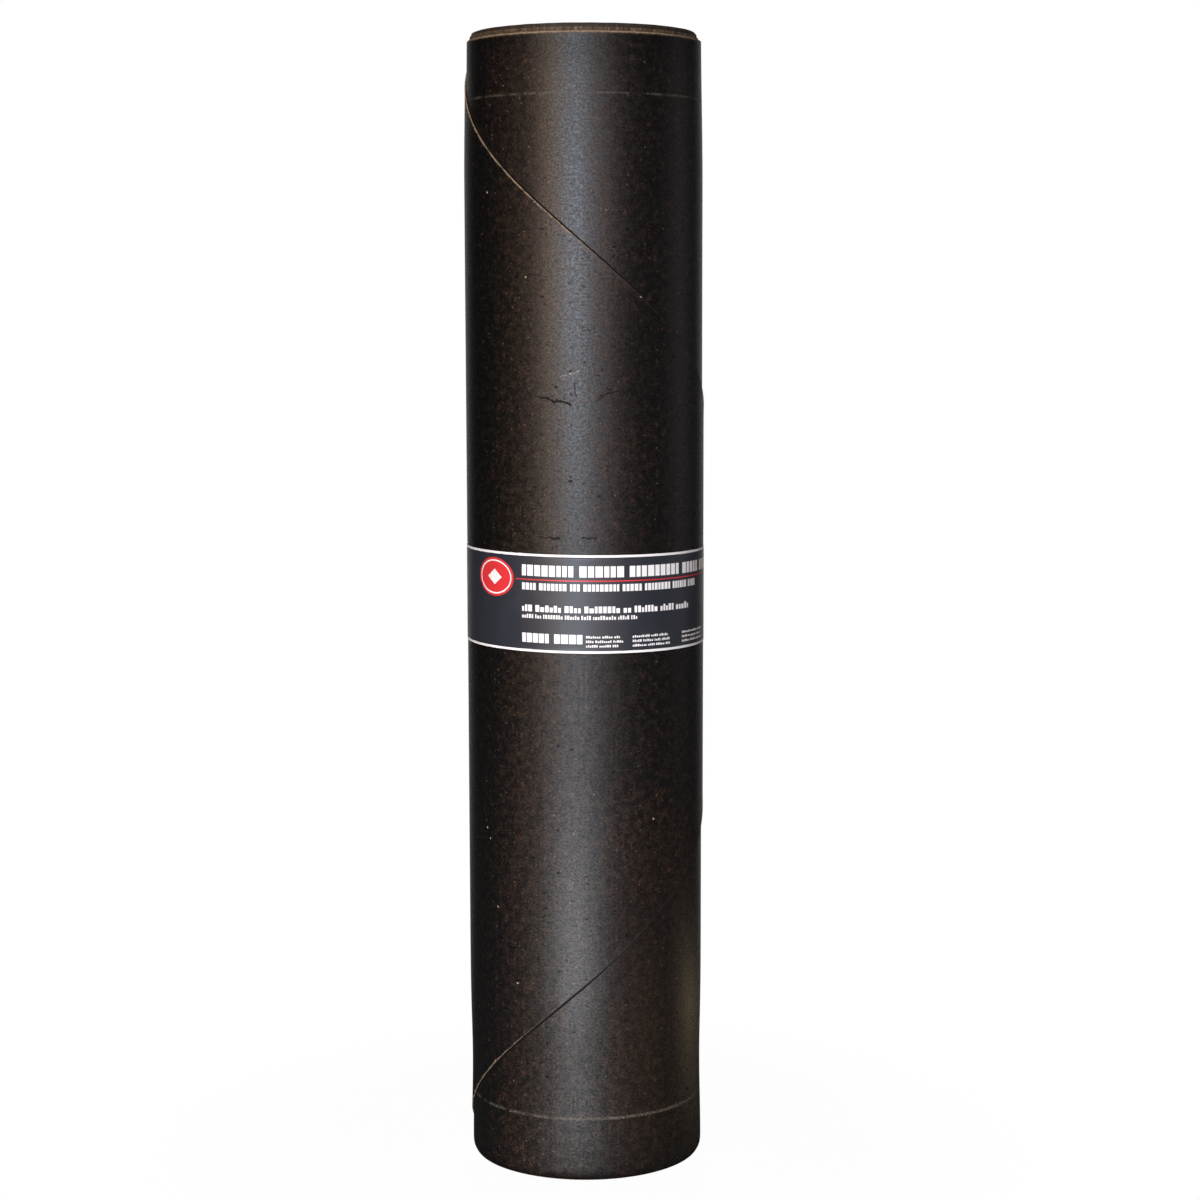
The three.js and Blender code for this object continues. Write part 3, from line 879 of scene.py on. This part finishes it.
AMBIENT = 0.006  # how bright the room is to all but the camera
WHITE_LIGHT = (1.0, 1.0, 1.0, 1)
FLOOR_GREY = (0.06, 0.06, 0.06, 1)
FLOOR_WHITE = (0.85, 0.85, 0.85, 1)
FLOOR_REACH = 9.0
FLOOR_POINTS = 13
FLOOR_GLOW = (0.97, 1.0)  # how much of the floor is plain white, beside the roll and far from it
FLOOR_FAR = (0.22, 0.42)  # from the axis
BEHIND = (0.80, 0.96)  # the cone straight behind the roll, as the cosine at its edge and inside its blur
LAMPS = (  # name, azimuth, distance, height, width, how tall, radiance, colour, and how high it is aimed
    ("front_light", -8.5, 2.4, 0.78, 0.42, 0.44, 66.0, (0.86, 0.99, 1.17), 0.70),
    ("left_light", -30.0, 2.4, 0.88, 0.40, 0.90, 18.5, (1.0, 0.67, 0.42), 0.60),
    ("right_light", 14.5, 2.4, 0.78, 0.62, 0.60, 9.6, (1.0, 0.68, 0.56), 0.70),
    ("side_light", 102.0, 2.0, 0.70, 0.60, 1.00, 0.85, (1.0, 0.90, 0.92), 0.50),
    ("back_light", 180.0, 2.4, 0.85, 0.50, 0.70, 32.0, (1.0, 0.97, 0.94), 0.60),
    ("foot_light", -10.5, 0.62, 0.06, 0.30, 0.06, 48.0, (0.97, 1.0, 1.05), 0.07),
    ("foot_glow", 25.0, 0.45, 0.02, 0.22, 0.04, 3.3, (1.0, 0.36, 0.06), 0.03),
    ("foot_glow", 55.0, 0.45, 0.02, 0.22, 0.04, 3.2, (1.0, 0.55, 0.28), 0.03),
    ("foot_glow", 112.0, 0.45, 0.02, 0.22, 0.04, 4.2, (1.0, 0.78, 0.50), 0.03),
    ("top_light", -20.0, 0.7, 2.70, 2.00, 2.0, 1.2, (1.0, 0.98, 0.96), 0.46),
)
CAMERA_PLACE = (0.0128, -2.084, 0.704)
CAMERA_PITCH = 6.61  # down
CAMERA_ROLL = 0.12
CAMERA_LENS = 76.18
SENSOR_WIDTH = 36.0


def seen(wire, along):
    """1 for the camera's own rays, and for those of reflections and of glass that go straight back. Along is
    the cosine with +Y of where they go."""
    kinds = ("Is Camera Ray", "Is Glossy Ray", "Is Transmission Ray")
    camera, glossy, through = (wire.node("LightPath", {}, {}, kind) for kind in kinds)
    return camera.either(glossy.either(through) * along.rising(*BEHIND))


world = bpy.data.worlds.new("room")
bpy.context.scene.world = world
world.use_nodes = True
world.node_tree.nodes.clear()
room = Wire(world.node_tree)
direction = room.node("TexCoord", {}, {})
strength = seen(room, direction.part(1)) * (1 - AMBIENT) + AMBIENT
shader_output(room, room.node("Background", {}, {"Color": WHITE_LIGHT, "Strength": strength}), "OutputWorld")

across = np.linspace(-FLOOR_REACH, FLOOR_REACH, FLOOR_POINTS)
x, y = np.meshgrid(across, across, indexing="ij")
floor = add_grid("floor", np.stack([x, y, 0 * x], -1))
floor_paint, start = new_material("floor_paint")
place = start.node("TexCoord", {}, {}, 3)
away = start.node("VectorMath", {"operation": "LENGTH"}, {0: place}, 1)
mask = seen(start, place.part(1) / away)
plain = start.node("BsdfDiffuse", {}, {"Color": mask.tint(FLOOR_GREY, FLOOR_WHITE)})
glow = start.node("Emission", {}, {"Color": WHITE_LIGHT, "Strength": 1.0})
glowing = FLOOR_GLOW[0] + away.rising(*FLOOR_FAR) * (FLOOR_GLOW[1] - FLOOR_GLOW[0])
shader_output(start, start.node("MixShader", {}, {0: mask * glowing, 1: plain, 2: glow}))
floor.data.materials.append(floor_paint)


def softbox(name, azimuth, distance, height, width, tall, radiance, colour, aim):
    """A rectangular lamp, aimed at the roll's axis. A lamp of radiance L over an area A has pi L A watts."""
    lamp = bpy.data.lights.new(name, "AREA")
    lamp.shape = "RECTANGLE"
    lamp.size = width
    lamp.size_y = tall
    lamp.energy = pi * radiance * width * tall
    lamp.color = colour
    stand = bpy.data.objects.new(name, lamp)
    turned = radians(azimuth)
    stand.location = (distance * sin(turned), -distance * cos(turned), height)
    down = np.arctan2(height - aim, distance)
    stand.rotation_euler = (pi / 2 - down, 0, turned)
    stand.visible_camera = False
    bpy.context.collection.objects.link(stand)


for lamp in LAMPS:
    softbox(*lamp)

camera_data = bpy.data.cameras.new("camera")
camera_data.lens = CAMERA_LENS
camera_data.sensor_width = SENSOR_WIDTH
camera = bpy.data.objects.new("camera", camera_data)
camera.location = CAMERA_PLACE
camera.rotation_euler = (radians(90 - CAMERA_PITCH), radians(CAMERA_ROLL), 0)
bpy.context.collection.objects.link(camera)
bpy.context.scene.camera = camera

bpy.context.scene.view_settings.view_transform = "Standard"
